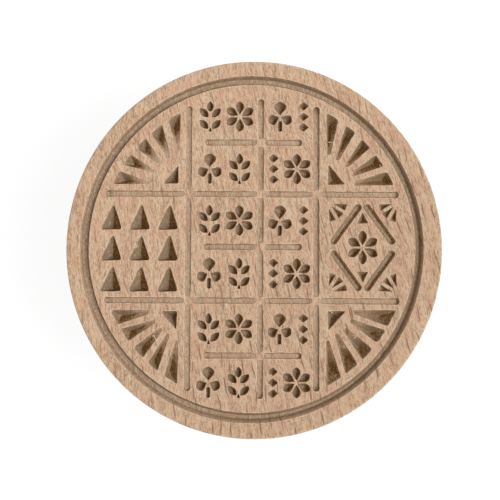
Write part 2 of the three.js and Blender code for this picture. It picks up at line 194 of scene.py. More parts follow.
def add_chip(corners, deepest, depth, steps=9, trim=0.6, wall=knife):
    """A chip with straight sides, each wall falling to the one deepest point."""
    outline = rounded(corners, trim, steps)
    floor = np.broadcast_to(np.array(deepest, float), outline.shape)
    add_cut(outline, floor, depth, wall)


def add_ray(inner, outer, ramp, deepest, tip_depth, depth):
    """A long chip whose valley line falls from its tip as (length share / deepest)^ramp and rises to its end.

    The line runs to the left of the middle by a share of the half width, the valley shift.
    """
    tip, end = sum(inner) / 2, sum(outer) / 2
    axis = end - tip
    across = np.array([-axis[1], axis[0]]) / np.linalg.norm(axis)
    outline = rounded([*inner, *outer], ray_trim, ray_steps)
    reached = ((outline - tip) @ axis / (axis @ axis)).clip(least_reach, deepest)
    tip_half, end_half = (np.linalg.norm(pair[0] - pair[1]) / 2 for pair in (inner, outer))
    aside = valley_shift * across[0] * (tip_half + (end_half - tip_half) * reached)
    floor = tip + reached[:, None] * axis - aside[:, None] * across
    add_cut(outline, floor, tip_depth + (depth - tip_depth) * (reached / deepest) ** ramp, knife)


# A fan's row gives its side and end; its rays' distance from the field's edge, ramp, deepest place, depth at
# the tip and depth; and the corners of its chip. A ray's row gives the place of its tip, the angle of its
# wide end round the middle, and its two widths. Places are shares of the way from the cell's lines outwards.
fans = (
    ((-1, 1), (0.8, 2.2, 0.76, 0.1, 4.1), ((0.106, 0.1), (0.28, 0.1), (0.108, 0.285)), (
        (0.422, 0.106, 27, 1.18, 5.36),
        (0.38, 0.222, 34.9, 1.24, 4.84),
        (0.32, 0.303, 43.2, 2.07, 4.99),
        (0.21, 0.351, 51.1, 1.64, 5.04),
        (0.11, 0.413, 59.3, 1.18, 5.04),
    )),
    ((1, 1), (0.24, 1.2, 0.8, 0.6, 4.1), ((0.12, 0.094), (0.317, 0.099), (0.133, 0.305)), (
        (0.408, 0.106, 26.9, 1.44, 5.56),
        (0.384, 0.194, 34.7, 1.74, 5.2),
        (0.32, 0.274, 42.8, 1.58, 4.47),
        (0.224, 0.339, 50.7, 1.48, 4.32),
        (0.134, 0.392, 58.9, 1.41, 4.73),
    )),
    ((-1, -1), (0.72, 1.5, 0.82, 0.4, 4.0), ((0.108, 0.1), (0.298, 0.101), (0.115, 0.288)), (
        (0.418, 0.112, 27, 1.8, 5.77),
        (0.35, 0.202, 34.6, 1.4, 5.46),
        (0.273, 0.268, 43, 1.46, 5.36),
        (0.202, 0.317, 50.6, 1.46, 4.58),
        (0.111, 0.381, 58.8, 1.25, 5.41),
    )),
    ((1, -1), (0.0, 3.2, 0.65, 1.1, 4.6), ((0.127, 0.093), (0.327, 0.092), (0.129, 0.286)), (
        (0.402, 0.102, 26.4, 1.53, 6.6),
        (0.363, 0.182, 34.3, 1.49, 5.72),
        (0.303, 0.264, 42.5, 1.79, 5.51),
        (0.215, 0.309, 50.4, 1.62, 5.67),
        (0.123, 0.375, 58.4, 1.17, 5.88),
    )),
)
for (side, end), (margin, ramp, deepest, tip_depth, depth), chip, rays in fans:
    row = row_heights[2 + end]
    corner = np.array([side * cell_half_width, row])
    span = np.array([side * (field_radius - cell_half_width), end * (field_radius - abs(row))])
    for sideways, endways, angle, tip_width, ray_width in rays:
        tip = corner + span * (sideways, endways)
        heading = turned_by(angle) * (side, end) * (field_radius - margin) - tip
        heading /= np.linalg.norm(heading)
        across = np.array([-heading[1], heading[0]])
        outer = []
        for edge in (-1, 1):
            origin = tip + across * edge * ray_width / 2
            along = origin @ heading
            reach = -along + math.sqrt(along**2 - origin @ origin + (field_radius - margin) ** 2)
            outer.append(origin + heading * reach)
        inner = [tip + across * tip_width / 2, tip - across * tip_width / 2]
        add_ray(inner, outer, ramp, deepest, tip_depth, depth)
    first, *legs = (corner + span * place for place in chip)
    middle = first + (sum(legs) / 2 - first) * corner_chip_middle
    add_chip([first, *legs], middle, corner_chip_depth)

# Carved disc: the nine triangular chips of the left cell. Each was dug with a chisel to one deep point just
# above the middle of its foot. The foot leans a little, and the blunt top stands to the right.
chip_width, chip_height, chip_depth = 7.2, 9.7, 5.2
column_pitch, chip_row_pitch = 10.45, 11.45
first_column, foot_drop, foot_rise = 7.5, 5.25, 1.0
foot_left, foot_right, foot_lean = 0.6, 0.45, 0.1
top_left, top_right, top_drop = 0.2, 1.1, 0.35


def chisel(share):
    """Depth share of a wall dug with a chisel: straight, with a round shoulder of 0.22 at the outline."""
    return 0.22 * (1 - np.exp(-share / 0.07)) + 0.78 * share


for row in (-1, 0, 1):
    for column in (0, 1, 2):
        x = -cell_half_width - first_column - column * column_pitch
        base = row_heights[2] + row * chip_row_pitch - foot_drop
        top = base + chip_height - top_drop
        left = x - chip_width / 2 - foot_left, base - foot_lean
        right = x + chip_width / 2 + foot_right, base + foot_lean
        corners = [left, right, (x + top_right, top), (x + top_left, top)]
        add_chip(corners, (x, base + foot_rise), chip_depth, steps=11, trim=1.3, wall=chisel)

# Carved disc: the small motifs of the middle cells. Ears of grain, six-petalled rosettes and three-leaved
# sprigs are gouged deep, so that they stand up boldly on the bread, and columns of lozenges are knife-cut.
motif_width, motif_height, motif_gap, motif_depth = 9.1, 11.5, 2.0, 2.9
lozenge_width, lozenge_gap = 4.3, 0.45
stalk_width, stalk_depth = 1.6, 2.2
row_offset = 9.8


def gouge(share):
    """Depth share of a gouged wall: a quarter of a sine to the power 0.9, steep at first and round below."""
    return np.sin(share * np.pi / 2) ** 0.9


def add_leaf(start, stop, width, widest):
    """A plump leaf: half its width at share s is (w / 2) sin(pi s^k)^0.7, widest and deepest at one share."""
    start, stop = np.array(start, float), np.array(stop, float)
    along = stop - start
    across = np.array([-along[1], along[0]]) / np.linalg.norm(along)
    bend = math.log(0.5) / math.log(widest)
    share = (1 - np.cos(np.linspace(0, np.pi, 14))) / 2
    swell = np.sin(np.pi * share**bend).clip(0)
    half = width / 2 * swell**0.7
    s = np.concatenate([share, share[-2:0:-1]])
    w = np.concatenate([-half, half[-2:0:-1]])
    lift = np.concatenate([swell, swell[-2:0:-1]])
    outline = start + s[:, None] * along + w[:, None] * across
    floor = start + (0.16 + 0.68 * s)[:, None] * along
    add_cut(outline, floor, motif_depth * (0.62 + 0.38 * lift), gouge, 0.04)


# In the motifs, numbers are the places and sizes of their leaves, from the middle or the foot of the motif.
def add_ear(x, y):
    """An ear of grain: two pairs of grains at 45 degrees on a stalk, and one grain on top."""
    top, grain_width = motif_height / 2, 2.75
    add_leaf((x, y + top - 4), (x, y + top), grain_width, 0.45)
    for base in (1.1 - top, 5.5 - top):
        for side in (-1, 1):
            add_leaf((x + side * 0.65, y + base), (x + side * 3.9, y + base + 3.25), grain_width, 0.5)
    left, right = (x - stalk_width / 2, y - top), (x + stalk_width / 2, y - top)
    add_chip([left, right, (x, y - top + 1.9)], (x, y - top + 0.7), stalk_depth, steps=5)


def add_rosette(x, y, radius):
    """Six petals round a middle, one every 60 degrees."""
    for angle in range(90, 450, 60):
        heading = turned_by(angle)
        add_leaf((x, y) + 0.8 * heading, (x, y) + radius * heading, 3.3, 0.6)


def add_sprig(x, y):
    """Three leaves on a stalk: a large one upwards and two that droop 25 degrees."""
    heart = np.array([x, y + motif_height / 2 - 5.7])
    for angle, length, width in ((90, 5.2, 4.9), (205, 4.3, 4.1), (-25, 4.3, 4.1)):
        heading = turned_by(angle)
        add_leaf(heart + 0.5 * heading, heart + (0.5 + length) * heading, width, 0.62)
    foot = y - motif_height / 2
    add_stroke((x, foot), (x, heart[1] - 2.45 + stalk_width / 2), stalk_width, stalk_depth, gouge, step=0.5)


def add_lozenges(x, y):
    """Three lozenges in a column."""
    height = (motif_height - 2 * lozenge_gap) / 3
    for k in (-1, 0, 1):
        c = y + k * (height + lozenge_gap)
        left, right = (x - lozenge_width / 2, c), (x + lozenge_width / 2, c)
        add_chip([left, (x, c - height / 2), right, (x, c + height / 2)], (x, c), motif_depth, steps=8)


left_middle = (divider - cell_half_width) / 2
right_middle = (divider + cell_half_width) / 2
pair_offset = (motif_width + motif_gap) / 2
for cell in (-1, 0, 1):
    for half in (-1, 1):
        y = row_heights[2 * cell + 2] + half * row_offset
        wide = right_middle - half * (motif_gap + lozenge_width) / 2
        add_lozenges(right_middle + half * pair_offset, y)
        if half == 1:
            add_ear(left_middle - pair_offset, y)
            add_rosette(left_middle + pair_offset, y, motif_height / 2)
            add_sprig(wide, y)
        else:
            add_sprig(left_middle - pair_offset, y)
            add_ear(left_middle + pair_offset, y)
            add_rosette(wide, y, motif_height / 2)

# Carved disc: the ornament of the right cell. A lozenge of four broad gouged strokes stands round a
# rosette, with a knife-cut chip above and below it and a small fan of chips in each corner of the cell.
ornament, large_rosette = np.array([cell_half_width + 17.2, row_heights[2]]), 6.3
frame_half = np.array([12.4, 17.2])
stroke_width, stroke_depth, stroke_trim = 2.8, 1.8, 1.5
inner_chip_foot, inner_chip_half, inner_chip_height = 8.9, 2.2, 4.3
inner_chip_middle, inner_chip_depth = 1.43, 2.8
small_fan, small_ray_width, small_ray_depth = np.array([13.3, 17]), 2.7, 2.4
small_ray_start, small_ray_stop, small_ray_deepest = 2.3, 7.6, 0.68

add_rosette(*ornament, large_rosette)
for end in (-1, 1):
    base = ornament[1] + end * inner_chip_foot
    left, right = (ornament[0] - inner_chip_half, base), (ornament[0] + inner_chip_half, base)
    peak = ornament[0], base + end * inner_chip_height
    add_chip([left, right, peak], (ornament[0], base + end * inner_chip_middle), inner_chip_depth, steps=8)
    for side in (-1, 1):
        point = ornament + (0, end * frame_half[1])
        waist = ornament + (side * frame_half[0], 0)
        trim = (waist - point) * stroke_trim / np.linalg.norm(waist - point)
        add_stroke(point + trim, waist - trim, stroke_width, stroke_depth, gouge)
        focus = ornament + small_fan * (side, end)
        for angle in (17, 45, 73):
            heading = turned_by(angle) * (-side, -end)
            across = np.array([-heading[1], heading[0]]) * small_ray_width / 2
            tip, back = focus + small_ray_start * heading, focus + small_ray_stop * heading
            deepest = tip + (back - tip) * small_ray_deepest
            add_chip([tip, back - across, back + across], deepest, small_ray_depth, steps=8)

# Carved disc: the mesh. The walls of all cuts, the flat wood between them, the ring groove, the rim, the
# turned side and the back with its blind bore are one closed skin, like the one piece of wood.
points, heights, wear_and_light, carving, faces = [], [], [], [], []
lip_least, lip_most = 0.07, 0.3
ripple_length, ripple_share, ripple_depth = 1.3, 0.07, 1.5
lip_drop, first_drop = 0.004, 0.02
lip = np.array([1.0, 0.5, 0.15])
shares = np.array([0, 0.04, 0.12, 0.25, 0.42, 0.6, 0.8, 1.0])
# The lips' share of wear and painted highlight, and their share of the carving, ring by ring.
lip_wear_and_light = np.concatenate([[0.0, 0.8, 1.0], np.exp(-((shares / 0.1) ** 2))])
lip_carved = np.concatenate([[0.0, 0.0, 0.0], np.ones(len(shares))])


def add_grid(xy, z, worn, carved, inward):
    """Rings of points (ring, place, 2) joined to the next ring by two triangles a place."""
    rings, places = z.shape
    first = sum(len(p) for p in points)
    index = first + np.arange(rings * places).reshape(rings, places)
    a, b = index[:-1], np.roll(index[:-1], -1, axis=1)
    c, d = np.roll(index[1:], -1, axis=1), index[1:]
    quads = np.stack([a, b, c, d] if inward else [a, d, c, b], axis=-1).reshape(-1, 4)
    faces.append(quads[:, [0, 1, 2]])
    faces.append(quads[:, [0, 2, 3]])
    points.append(xy.reshape(-1, 2))
    heights.append(z.ravel())
    wear_and_light.append(np.broadcast_to(worn, z.shape).ravel())
    carving.append(np.broadcast_to(carved, z.shape).ravel())
    return index[0]


all_points = np.concatenate([cut[0] for cut in cuts])
all_owners = np.repeat(np.arange(len(cuts)), [len(cut[0]) for cut in cuts])


def lip_room(number, outline):
    """Width of the worn lip round a cut: about a third of the way to the nearest other cut, within limits."""
    near = np.all(np.abs(all_points - outline.mean(axis=0)) < np.ptp(outline, axis=0) / 2 + 3, axis=1)
    others = all_points[near & (all_owners != number)]
    if len(others) == 0:
        return np.full(len(outline), lip_most)
    gap = np.linalg.norm(outline[:, None] - others[None], axis=2).min(axis=1)
    return (0.36 * (gap - 0.08)).clip(lip_least, lip_most)


# A cut's rings: three on the lip beside it, and then its wall, which ripples by a share of its depth.
loops = []
for number, (outline, floor, depth, wall, tone) in enumerate(cuts):
    tangent = np.roll(outline, -1, axis=0) - np.roll(outline, 1, axis=0)
    outward = np.stack([tangent[:, 1], -tangent[:, 0]], axis=1)
    outward /= np.linalg.norm(outward, axis=1, keepdims=True)
    room = lip_room(number, outline)
    beside = outline + (lip[:, None] * room)[:, :, None] * outward
    below = outline + shares[:, None, None] * (floor - outline)
    fall = depth * wall(shares)[:, None] + first_drop
    ripple = drift(below, ripple_length, 21) * ripple_share * np.sin(np.pi / 2 * shares)[:, None]
    fall += ripple * np.minimum(depth, ripple_depth)
    rings = np.concatenate([beside, below])
    level = np.concatenate([np.zeros((2, len(outline))), np.full((1, len(outline)), -lip_drop), -fall])
    loops.append(add_grid(rings, level, lip_wear_and_light[:, None], lip_carved[:, None] * tone, inward=True))

# The ring groove was routed in one sweep. Its edges wander by shares of 1, cos a, sin a, cos 2a and sin 2a,
# its walls lean more at the lower right, and its floor sinks more at the right.
places = 360
angle = np.arange(places) / places * 2 * np.pi
compass = np.stack([np.cos(angle), np.sin(angle)], axis=1)
lower_right = (compass @ turned_by(-30)).clip(0)
harmonics = np.stack([np.ones(places), *compass.T, np.cos(2 * angle), np.sin(2 * angle)])
inner_edge = ring_radius - ring_width / 2 + np.array([0.0, 0.01, 0.17, 0.0, 0.05]) @ harmonics
outer_edge = ring_radius + ring_width / 2 + np.array([0.12, -0.08, -0.1, -0.13, 0.1]) @ harmonics
groove_across = (1 - np.cos(np.linspace(0, np.pi, 27)))[:, None] / 2
lips = np.array([0.34, 0.17, 0.06])[:, None]
groove_radius = np.concatenate([inner_edge - lips, inner_edge + groove_across * (outer_edge - inner_edge),
                                outer_edge + lips[::-1]])
inner_slope = 0.2 + 0.16 * lower_right
outer_slope = 0.36 + 0.11 * compass @ turned_by(-45)
inner_wall = (groove_across / inner_slope).clip(0, 1)
outer_wall = ((1 - groove_across) / outer_slope).clip(0, 1) ** (0.9 + 0.5 * lower_right)
bulge = 0.93 + 0.07 * np.sin(np.pi * groove_across)
groove_share = 0.01 + 0.99 * inner_wall * outer_wall * bulge
lip_fall = np.array([0, 0, 0.002])[:, None] * np.ones(places)
groove_fall = np.concatenate([lip_fall, groove_share, lip_fall[::-1]]) * ring_depth
groove_fall *= 1 + 0.2 * compass[:, 0].clip(0) ** 2
groove_rings = groove_radius[:, :, None] * compass * oval
groove_level = drift(groove_rings, 1.6, 31) * 0.05 * (groove_fall / ring_depth) - groove_fall
lip_ramp = [0, 0.8, 1, 1, 0.7, 0.2]
groove_wear_and_light = np.concatenate([lip_ramp, np.zeros(len(groove_fall) - 12), lip_ramp[::-1]])[:, None]
groove_carved = np.concatenate([np.zeros(3), np.ones(len(groove_fall) - 6), np.zeros(3)])[:, None]
# Painted shadow: at the lower right, the inner half of the groove takes more of the cuts' painted shade, as
# if the outer wall's shadow fell wider.
inner_half = np.concatenate([np.ones((3, 1)), 1 - groove_across, np.zeros((3, 1))])
groove_carved = groove_carved * (0.8 + 0.15 * lower_right**2 * inner_half)
field_edge = add_grid(groove_rings, groove_level, groove_wear_and_light, groove_carved, inward=False)


def add_fibre(start, stop, bow):
    """A torn fibre: a thread along (1 - t) start + t stop + 4 t (1 - t) bow across, thick by sin(pi t)^0.5.

    It hangs just below the face, and sinks as t (1 - t). Its share of 2 of wear and painted highlight keeps
    it pale.
    """
    t = np.linspace(0, 1, 9)
    start, stop = np.array(start, float), np.array(stop, float)
    sideways = np.array([start[1] - stop[1], stop[0] - start[0]]) / np.linalg.norm(stop - start)
    path = start + t[:, None] * (stop - start) + (4 * t * (1 - t) * bow)[:, None] * sideways
    radius = 0.13 * np.sin(np.pi * t).clip(0) ** 0.5
    around = np.arange(6) / 6 * 2 * np.pi
    xy = path[:, None] + (radius[:, None] * np.cos(around))[:, :, None] * sideways
    z = radius[:, None] * np.sin(around) - (0.16 + 0.9 * t * (1 - t))[:, None]
    add_grid(xy, z, 2.0, 0.0, inward=True)


for start, stop, bow in (
    ((27.9, 39.2), (30.0, 39.0), 0.5), ((32.7, 35.4), (33.7, 35.2), 0.2),
    ((36.8, 28.6), (37.9, 27.1), -0.3), ((36.6, 27.6), (37.7, 28.2), 0.2),
    ((47.0, 31.4), (48.3, 28.8), 0.3), ((-36.4, -32.4), (-35.2, -34.5), 0.3),
    ((-36.5, -33.0), (-35.5, -32.5), 0.2), ((-32.6, -39.0), (-31.2, -38.6), 0.2),
    ((33.8, -30.0), (34.7, -30.1), 0.2), ((37.5, -31.9), (38.6, -33.0), 0.2),
    ((38.2, -32.2), (37.5, -33.2), 0.2), ((33.7, -35.8), (34.2, -36.7), 0.1),
    ((-41.9, 3.6), (-40.8, 4.1), 0.2), ((-43.5, -0.7), (-41.7, 0.4), 0.3),
    ((-44.7, -2.3), (-44.1, -1.4), 0.2), ((-43.2, 0.4), (-42.3, 1.5), -0.2),
    ((-42.2, -9.3), (-41.5, -10.5), 0.2), ((28.7, -23.6), (30.2, -23.1), 0.2),
    ((29.2, -24.3), (30.3, -23.5), 0.2),
):
    add_fibre(start, stop, bow)

# The plain rim, the side and the back follow one profile of (radius, height), which is squashed a little
# sideways as the board has shrunk, except at the round bore.
quarter = np.linspace(0, np.pi / 2, 6)
face_round, back_round = 0.6, 3.0
thickness = disc_high[2] - disc_low[2]
bore_radius, bore_depth = 5.15, 11.5
profile = np.concatenate([
    np.stack([disc_radius - face_round + face_round * np.sin(quarter),
              face_round * (np.cos(quarter) - 1)], 1),
    np.stack([disc_radius - back_round + back_round * np.cos(quarter),
              -thickness + back_round * (1 - np.sin(quarter))], 1),
    [[30.0, -thickness], [bore_radius, -thickness], [bore_radius, bore_depth - thickness],
     [0.0, bore_depth - thickness]],
])
edge_circle = profile[0, 0] * compass * oval - carving_middle
land = np.linspace(0, 1, 5)[:, None, None] * (edge_circle - groove_rings[-1]) + groove_rings[-1]
squash = np.where(profile[1:, 0] > 10, oval[:, None], 1.0).T
rim = (profile[1:, 0][:, None] * squash)[:, None] * compass - carving_middle
rim_rings = np.concatenate([land, rim])
rim_fall = np.broadcast_to(profile[1:, 1:], (len(profile) - 1, places))
rim_level = np.concatenate([np.zeros((len(land), places)), rim_fall])
rim_wear_and_light = np.concatenate([[0, 0, 0, 0, 0.3, 0.6, 1, 1, 1, 0.5], np.zeros(len(rim_level) - 10)])[:, None]
add_grid(rim_rings, rim_level, rim_wear_and_light, 0.0, inward=False)

# The flat wood between the cuts and the groove is one triangulation that keeps their outlines as edges. A
# triangle that turns the right way between three points of the same cut lies in that cut and is left out.
points, heights, wear_and_light = np.concatenate(points), np.concatenate(heights), np.concatenate(wear_and_light)
carving = np.concatenate(carving)
outlines = [*loops, field_edge]
edges = np.concatenate([np.stack([loop, np.roll(loop, -1)], axis=1) for loop in outlines])
flat_ids = np.concatenate(outlines)
loop_of = np.repeat(np.arange(len(outlines)), [len(loop) for loop in outlines])
place_of = {int(v): k for k, v in enumerate(flat_ids)}
flat_edges = [(place_of[int(a)], place_of[int(b)]) for a, b in edges]
flat = delaunay_2d_cdt([Vector(p) for p in points[flat_ids]], flat_edges, [], 0, 1e-6)
origin = np.array([ids[0] for ids in flat[3]])
flat_faces = origin[np.array(flat[2])]
p, q, r = (points[flat_ids[column]] for column in np.sort(flat_faces, axis=1).T)
winding = (q - p)[:, 0] * (r - p)[:, 1] - (q - p)[:, 1] * (r - p)[:, 0]
same_loop = (np.ptp(loop_of[flat_faces], axis=1) == 0) & (loop_of[flat_faces[:, 0]] < len(loops))
faces.append(flat_ids[flat_faces[~(same_loop & (winding > 0))]])


def skin(name, xyz, triangles, **attributes):
    """A mesh object from points in millimetres: equal points are merged and collapsed faces dropped."""
    keys, first, merged = np.unique(np.round(xyz, 5), axis=0, return_index=True, return_inverse=True)
    triangles = merged.reshape(-1)[triangles]
    a, b, c = triangles.T
    triangles = triangles[(a != b) & (b != c) & (c != a)]
    mesh = bpy.data.meshes.new(name)
    mesh.from_pydata(keys * MM, [], triangles)
    mesh.polygons.foreach_set("use_smooth", np.ones(len(triangles), bool))
    for label, values in attributes.items():
        mesh.attributes.new(label, "FLOAT", "POINT").data.foreach_set("value", values[first])
    piece = bpy.data.objects.new(name, mesh)
    bpy.context.collection.objects.link(piece)
    return piece


disc_points = np.column_stack([points + carving_middle, heights + face_height])
carved_disc = skin("carved_disc", disc_points, np.concatenate(faces), worn=wear_and_light, carved=carving)
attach(carved_disc, "root")
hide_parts("stamp_disc")

# Carved disc: the wood. Bare beech with its grain along +Y, leaning 10 degrees to the left. The cuts carry
# painted shade, their end grain is torn, and their lips are pale by wear and painted highlight.
grain_lean = math.radians(10)
# Painted colours: of the cuts, lit, turned from the light and on floors; of the shade towards the lower
# right; of torn end grain; and of lips pale by wear and painted highlight.
lit_cut, shaded_cut, cut_floor_shade = (0.245, 0.174, 0.104, 1), (0.155, 0.068, 0.003, 1), (0.21, 0.165, 0.108, 1)
falloff_shade, torn_end, worn_lip = (0.3, 0.19, 0.12, 1), (0.2, 0.115, 0.055, 1), (0.9, 0.72, 0.53, 1)


def node(tree, kind, settings=(), **inputs):
    """Add a shader node, set its properties, and link or fill its inputs by name or by place (i0, i1...)."""
    made = tree.nodes.new(kind)
    for key, value in dict(settings).items():
        setattr(made, key, value)
    for key, value in inputs.items():
        by_place = key[0] == "i" and key[1:].isdigit()
        socket = made.inputs[int(key[1:]) if by_place else key.replace("_", " ")]
        if isinstance(value, bpy.types.NodeSocket):
            tree.links.new(value, socket)
        else:
            socket.default_value = value
    return made


def mix(tree, factor, a, b):
    """Blend two colours by a factor."""
    return node(tree, "ShaderNodeMix", {"data_type": "RGBA"}, i0=factor, i6=a, i7=b).outputs[2]


def remap(tree, value, low, high, to_low=0.0, to_high=1.0):
    """Smooth step of a value from one range to another."""
    made = node(tree, "ShaderNodeMapRange", {"interpolation_type": "SMOOTHSTEP"},
                i0=value, i1=low, i2=high, i3=to_low, i4=to_high)
    return made.outputs[0]


def math_node(tree, operation, a, b):
    """One arithmetic step on two values."""
    return node(tree, "ShaderNodeMath", {"operation": operation}, i0=a, i1=b).outputs[0]


def times(tree, a, b):
    """Product of two values."""
    return math_node(tree, "MULTIPLY", a, b)


def facing(tree, normal, direction):
    """Dot product of a normal and a fixed direction."""
    made = node(tree, "ShaderNodeVectorMath", {"operation": "DOT_PRODUCT"}, i0=normal, i1=direction)
    return made.outputs["Value"]


def stretched(tree, vector, scale):
    """Coordinates stretched by a scale along each axis."""
    return node(tree, "ShaderNodeVectorMath", {"operation": "MULTIPLY"}, i0=vector, i1=scale).outputs[0]


def noise(tree, vector, scale, detail, roughness=0.5):
    """Cloudy noise on coordinates stretched by a scale along each axis."""
    return node(tree, "ShaderNodeTexNoise", i0=stretched(tree, vector, scale), Scale=1.0,
                Detail=detail, Roughness=roughness).outputs[0]


def spindles(tree, vector, pitch, half_size, kept):
    """Spindle-shaped flecks, one in each Voronoi cell of a pitch, of which the share kept shows."""
    cells = node(tree, "ShaderNodeTexVoronoi", i0=stretched(tree, vector, [1 / p for p in pitch]), Scale=1.0)
    scaled = stretched(tree, vector, [1 / h for h in half_size])
    seed = stretched(tree, cells.outputs["Position"], [p / h for p, h in zip(pitch, half_size)])
    gap = node(tree, "ShaderNodeVectorMath", {"operation": "DISTANCE"}, i0=scaled, i1=seed).outputs["Value"]
    chance = node(tree, "ShaderNodeSeparateColor", i0=cells.outputs["Color"]).outputs[0]
    strong = remap(tree, chance, 1 - kept, 1.4 - kept)
    return times(tree, remap(tree, gap, 1.0, 0.45), strong)


def build_beech():
    """Beech with its grain along Y, in millimetres: bands of tint, fine fibres, grit and spindle flecks."""
    tree = bpy.data.node_groups.new("beech", "ShaderNodeTree")
    for name, kind, default in (
        ("Vector", "NodeSocketVector", None),
        ("Pale", "NodeSocketColor", (0.715, 0.515, 0.34, 1)),
        ("Rosy", "NodeSocketColor", (0.685, 0.425, 0.275, 1)),
        ("Deep", "NodeSocketColor", (0.33, 0.2, 0.115, 1)),
        ("Fleck", "NodeSocketColor", (0.22, 0.11, 0.062, 1)),
        ("Fleck strength", "NodeSocketFloat", 0.7),
        ("Spread", "NodeSocketFloat", 0.0),
    ):
        socket = tree.interface.new_socket(name, in_out="INPUT", socket_type=kind)
        if default is not None:
            socket.default_value = default
    tree.interface.new_socket("Color", in_out="OUTPUT", socket_type="NodeSocketColor")
    tree.interface.new_socket("Height", in_out="OUTPUT", socket_type="NodeSocketFloat")
    given = tree.nodes.new("NodeGroupInput").outputs

    # The grain sways slowly from side to side, and fans out from the middle by the spread.
    x, y, z = node(tree, "ShaderNodeSeparateXYZ", i0=given["Vector"]).outputs
    sway = math_node(tree, "SUBTRACT", noise(tree, given["Vector"], (0.07, 0.05, 0.07), 2.0, 0.6), 0.5)
    fanned = times(tree, times(tree, x, y), given["Spread"])
    aside = math_node(tree, "ADD", times(tree, sway, 4.0), fanned)
    shift = node(tree, "ShaderNodeCombineXYZ", i0=aside).outputs[0]
    vector = node(tree, "ShaderNodeVectorMath", {"operation": "ADD"}, i0=given["Vector"], i1=shift).outputs[0]

    bands = noise(tree, vector, (0.4, 0.03, 0.4), 3.0, 0.6)
    fibres = noise(tree, vector, (2.8, 0.56, 2.8), 2.0, 0.6)
    grit = noise(tree, vector, (3.6, 1.6, 3.6), 1.0, 0.6)
    blush = noise(tree, vector, (0.6, 0.11, 0.6), 3.0, 0.6)
    pale = mix(tree, remap(tree, blush, 0.38, 0.62), given["Pale"], given["Rosy"])
    shade = math_node(tree, "ADD", times(tree, bands, 0.35), fibres)
    shade = math_node(tree, "ADD", shade, times(tree, grit, 0.5))
    color = mix(tree, remap(tree, shade, 0.81, 1.19), pale, given["Deep"])
    long_flecks = spindles(tree, vector, (3.4, 8.6, 3.6), (0.34, 4.4, 9.0), 0.72)
    short_flecks = spindles(tree, vector, (1.9, 3.6, 2.0), (0.2, 1.3, 5.0), 0.4)
    spots = math_node(tree, "MAXIMUM", long_flecks, times(tree, short_flecks, 0.5))
    color = mix(tree, times(tree, spots, given["Fleck strength"]), color, given["Fleck"])
    height = math_node(tree, "SUBTRACT", fibres, times(tree, spots, 0.5))
    node(tree, "NodeGroupOutput", Color=color, Height=height)
    return tree


beech = build_beech()


def wood(name, turn, **colours):
    """A material with the beech group turned so that its grain lies along the piece's grain."""
    material = bpy.data.materials.new(name)
    material.use_nodes = True
    tree = material.node_tree
    place = node(tree, "ShaderNodeTexCoord").outputs["Object"]
    laid = node(tree, "ShaderNodeMapping", i0=place, Rotation=turn, Scale=(1000, 1000, 1000)).outputs[0]
    grain = node(tree, "ShaderNodeGroup", {"node_tree": beech}, Vector=laid, **colours)
    return material, tree, grain, tree.nodes["Principled BSDF"]


disc_wood, tree, grain, shader = wood("carved beech", (0, 0, -grain_lean), Spread=0.0016)
spot = node(tree, "ShaderNodeTexCoord").outputs
across, up, height = node(tree, "ShaderNodeSeparateXYZ", i0=spot["Object"]).outputs
upright = node(tree, "ShaderNodeSeparateXYZ", i0=spot["Normal"]).outputs[2]
depth = times(tree, math_node(tree, "SUBTRACT", face_height * MM, height), 1 / MM)
worn = node(tree, "ShaderNodeAttribute", {"attribute_name": "worn"}).outputs["Fac"]
cut = node(tree, "ShaderNodeAttribute", {"attribute_name": "carved"}).outputs["Fac"]
fuzz = noise(tree, spot["Object"], (1900, 1000, 1900), 3.0)

# Painted shade: the wood darkens and browns towards the lower right, as the light falls off; its flecks are
# clearer there.
aside = math_node(tree, "SUBTRACT", across, up)
tree.links.new(remap(tree, aside, -0.05, 0.08, 0.5, 0.95), grain.inputs["Fleck strength"])
color = mix(tree, remap(tree, aside, -0.09, 0.09, 0.0, 0.22), grain.outputs["Color"], falloff_shade)

# Painted shade in the cuts by steepness and depth, shaded on walls that face left, away from the light, paler
# on floors.
away = facing(tree, spot["Normal"], (0.92, -0.38, 0))
shady = times(tree, remap(tree, away, 0.1, -0.5), remap(tree, cut, 0.96, 1.0, 0.15, 1.0))
cut_shade_tone = mix(tree, shady, lit_cut, shaded_cut)
cut_shade_tone = mix(tree, remap(tree, upright, 0.85, 1.0), cut_shade_tone, cut_floor_shade)
steep = times(tree, remap(tree, upright, 0.95, 0.72, 0.0, 0.95), remap(tree, depth, 0.2, 1.6, 0.25, 1.0))
recess_shade = math_node(tree, "MAXIMUM", steep, remap(tree, depth, 0.15, 3.6, 0.42, 0.9))
recess_shade = times(tree, recess_shade, remap(tree, fuzz, 0.33, 0.67, 0.55, 1.4))
color = mix(tree, times(tree, recess_shade, cut), color, cut_shade_tone)

# End grain, where a wall faces along the grain, is torn in streaks that run down the wall.
along = facing(tree, spot["Normal"], (-math.sin(grain_lean), math.cos(grain_lean), 0))
against = remap(tree, along, -0.35, -0.9)
with_cut = times(tree, remap(tree, along, 0.35, 0.9), 0.25)
teeth = noise(tree, spot["Object"], (900, 900, 250), 1.0)
ragged = times(tree, remap(tree, cut, 0.0, 0.5, 0.25, 0.7), remap(tree, cut, 0.77, 0.8, 1.0, 0.5))
ragged = times(tree, ragged, remap(tree, teeth, 0.35, 0.6, 0.5, 1.3))
torn = times(tree, math_node(tree, "MAXIMUM", against, with_cut), ragged)
color = mix(tree, torn, color, torn_end)

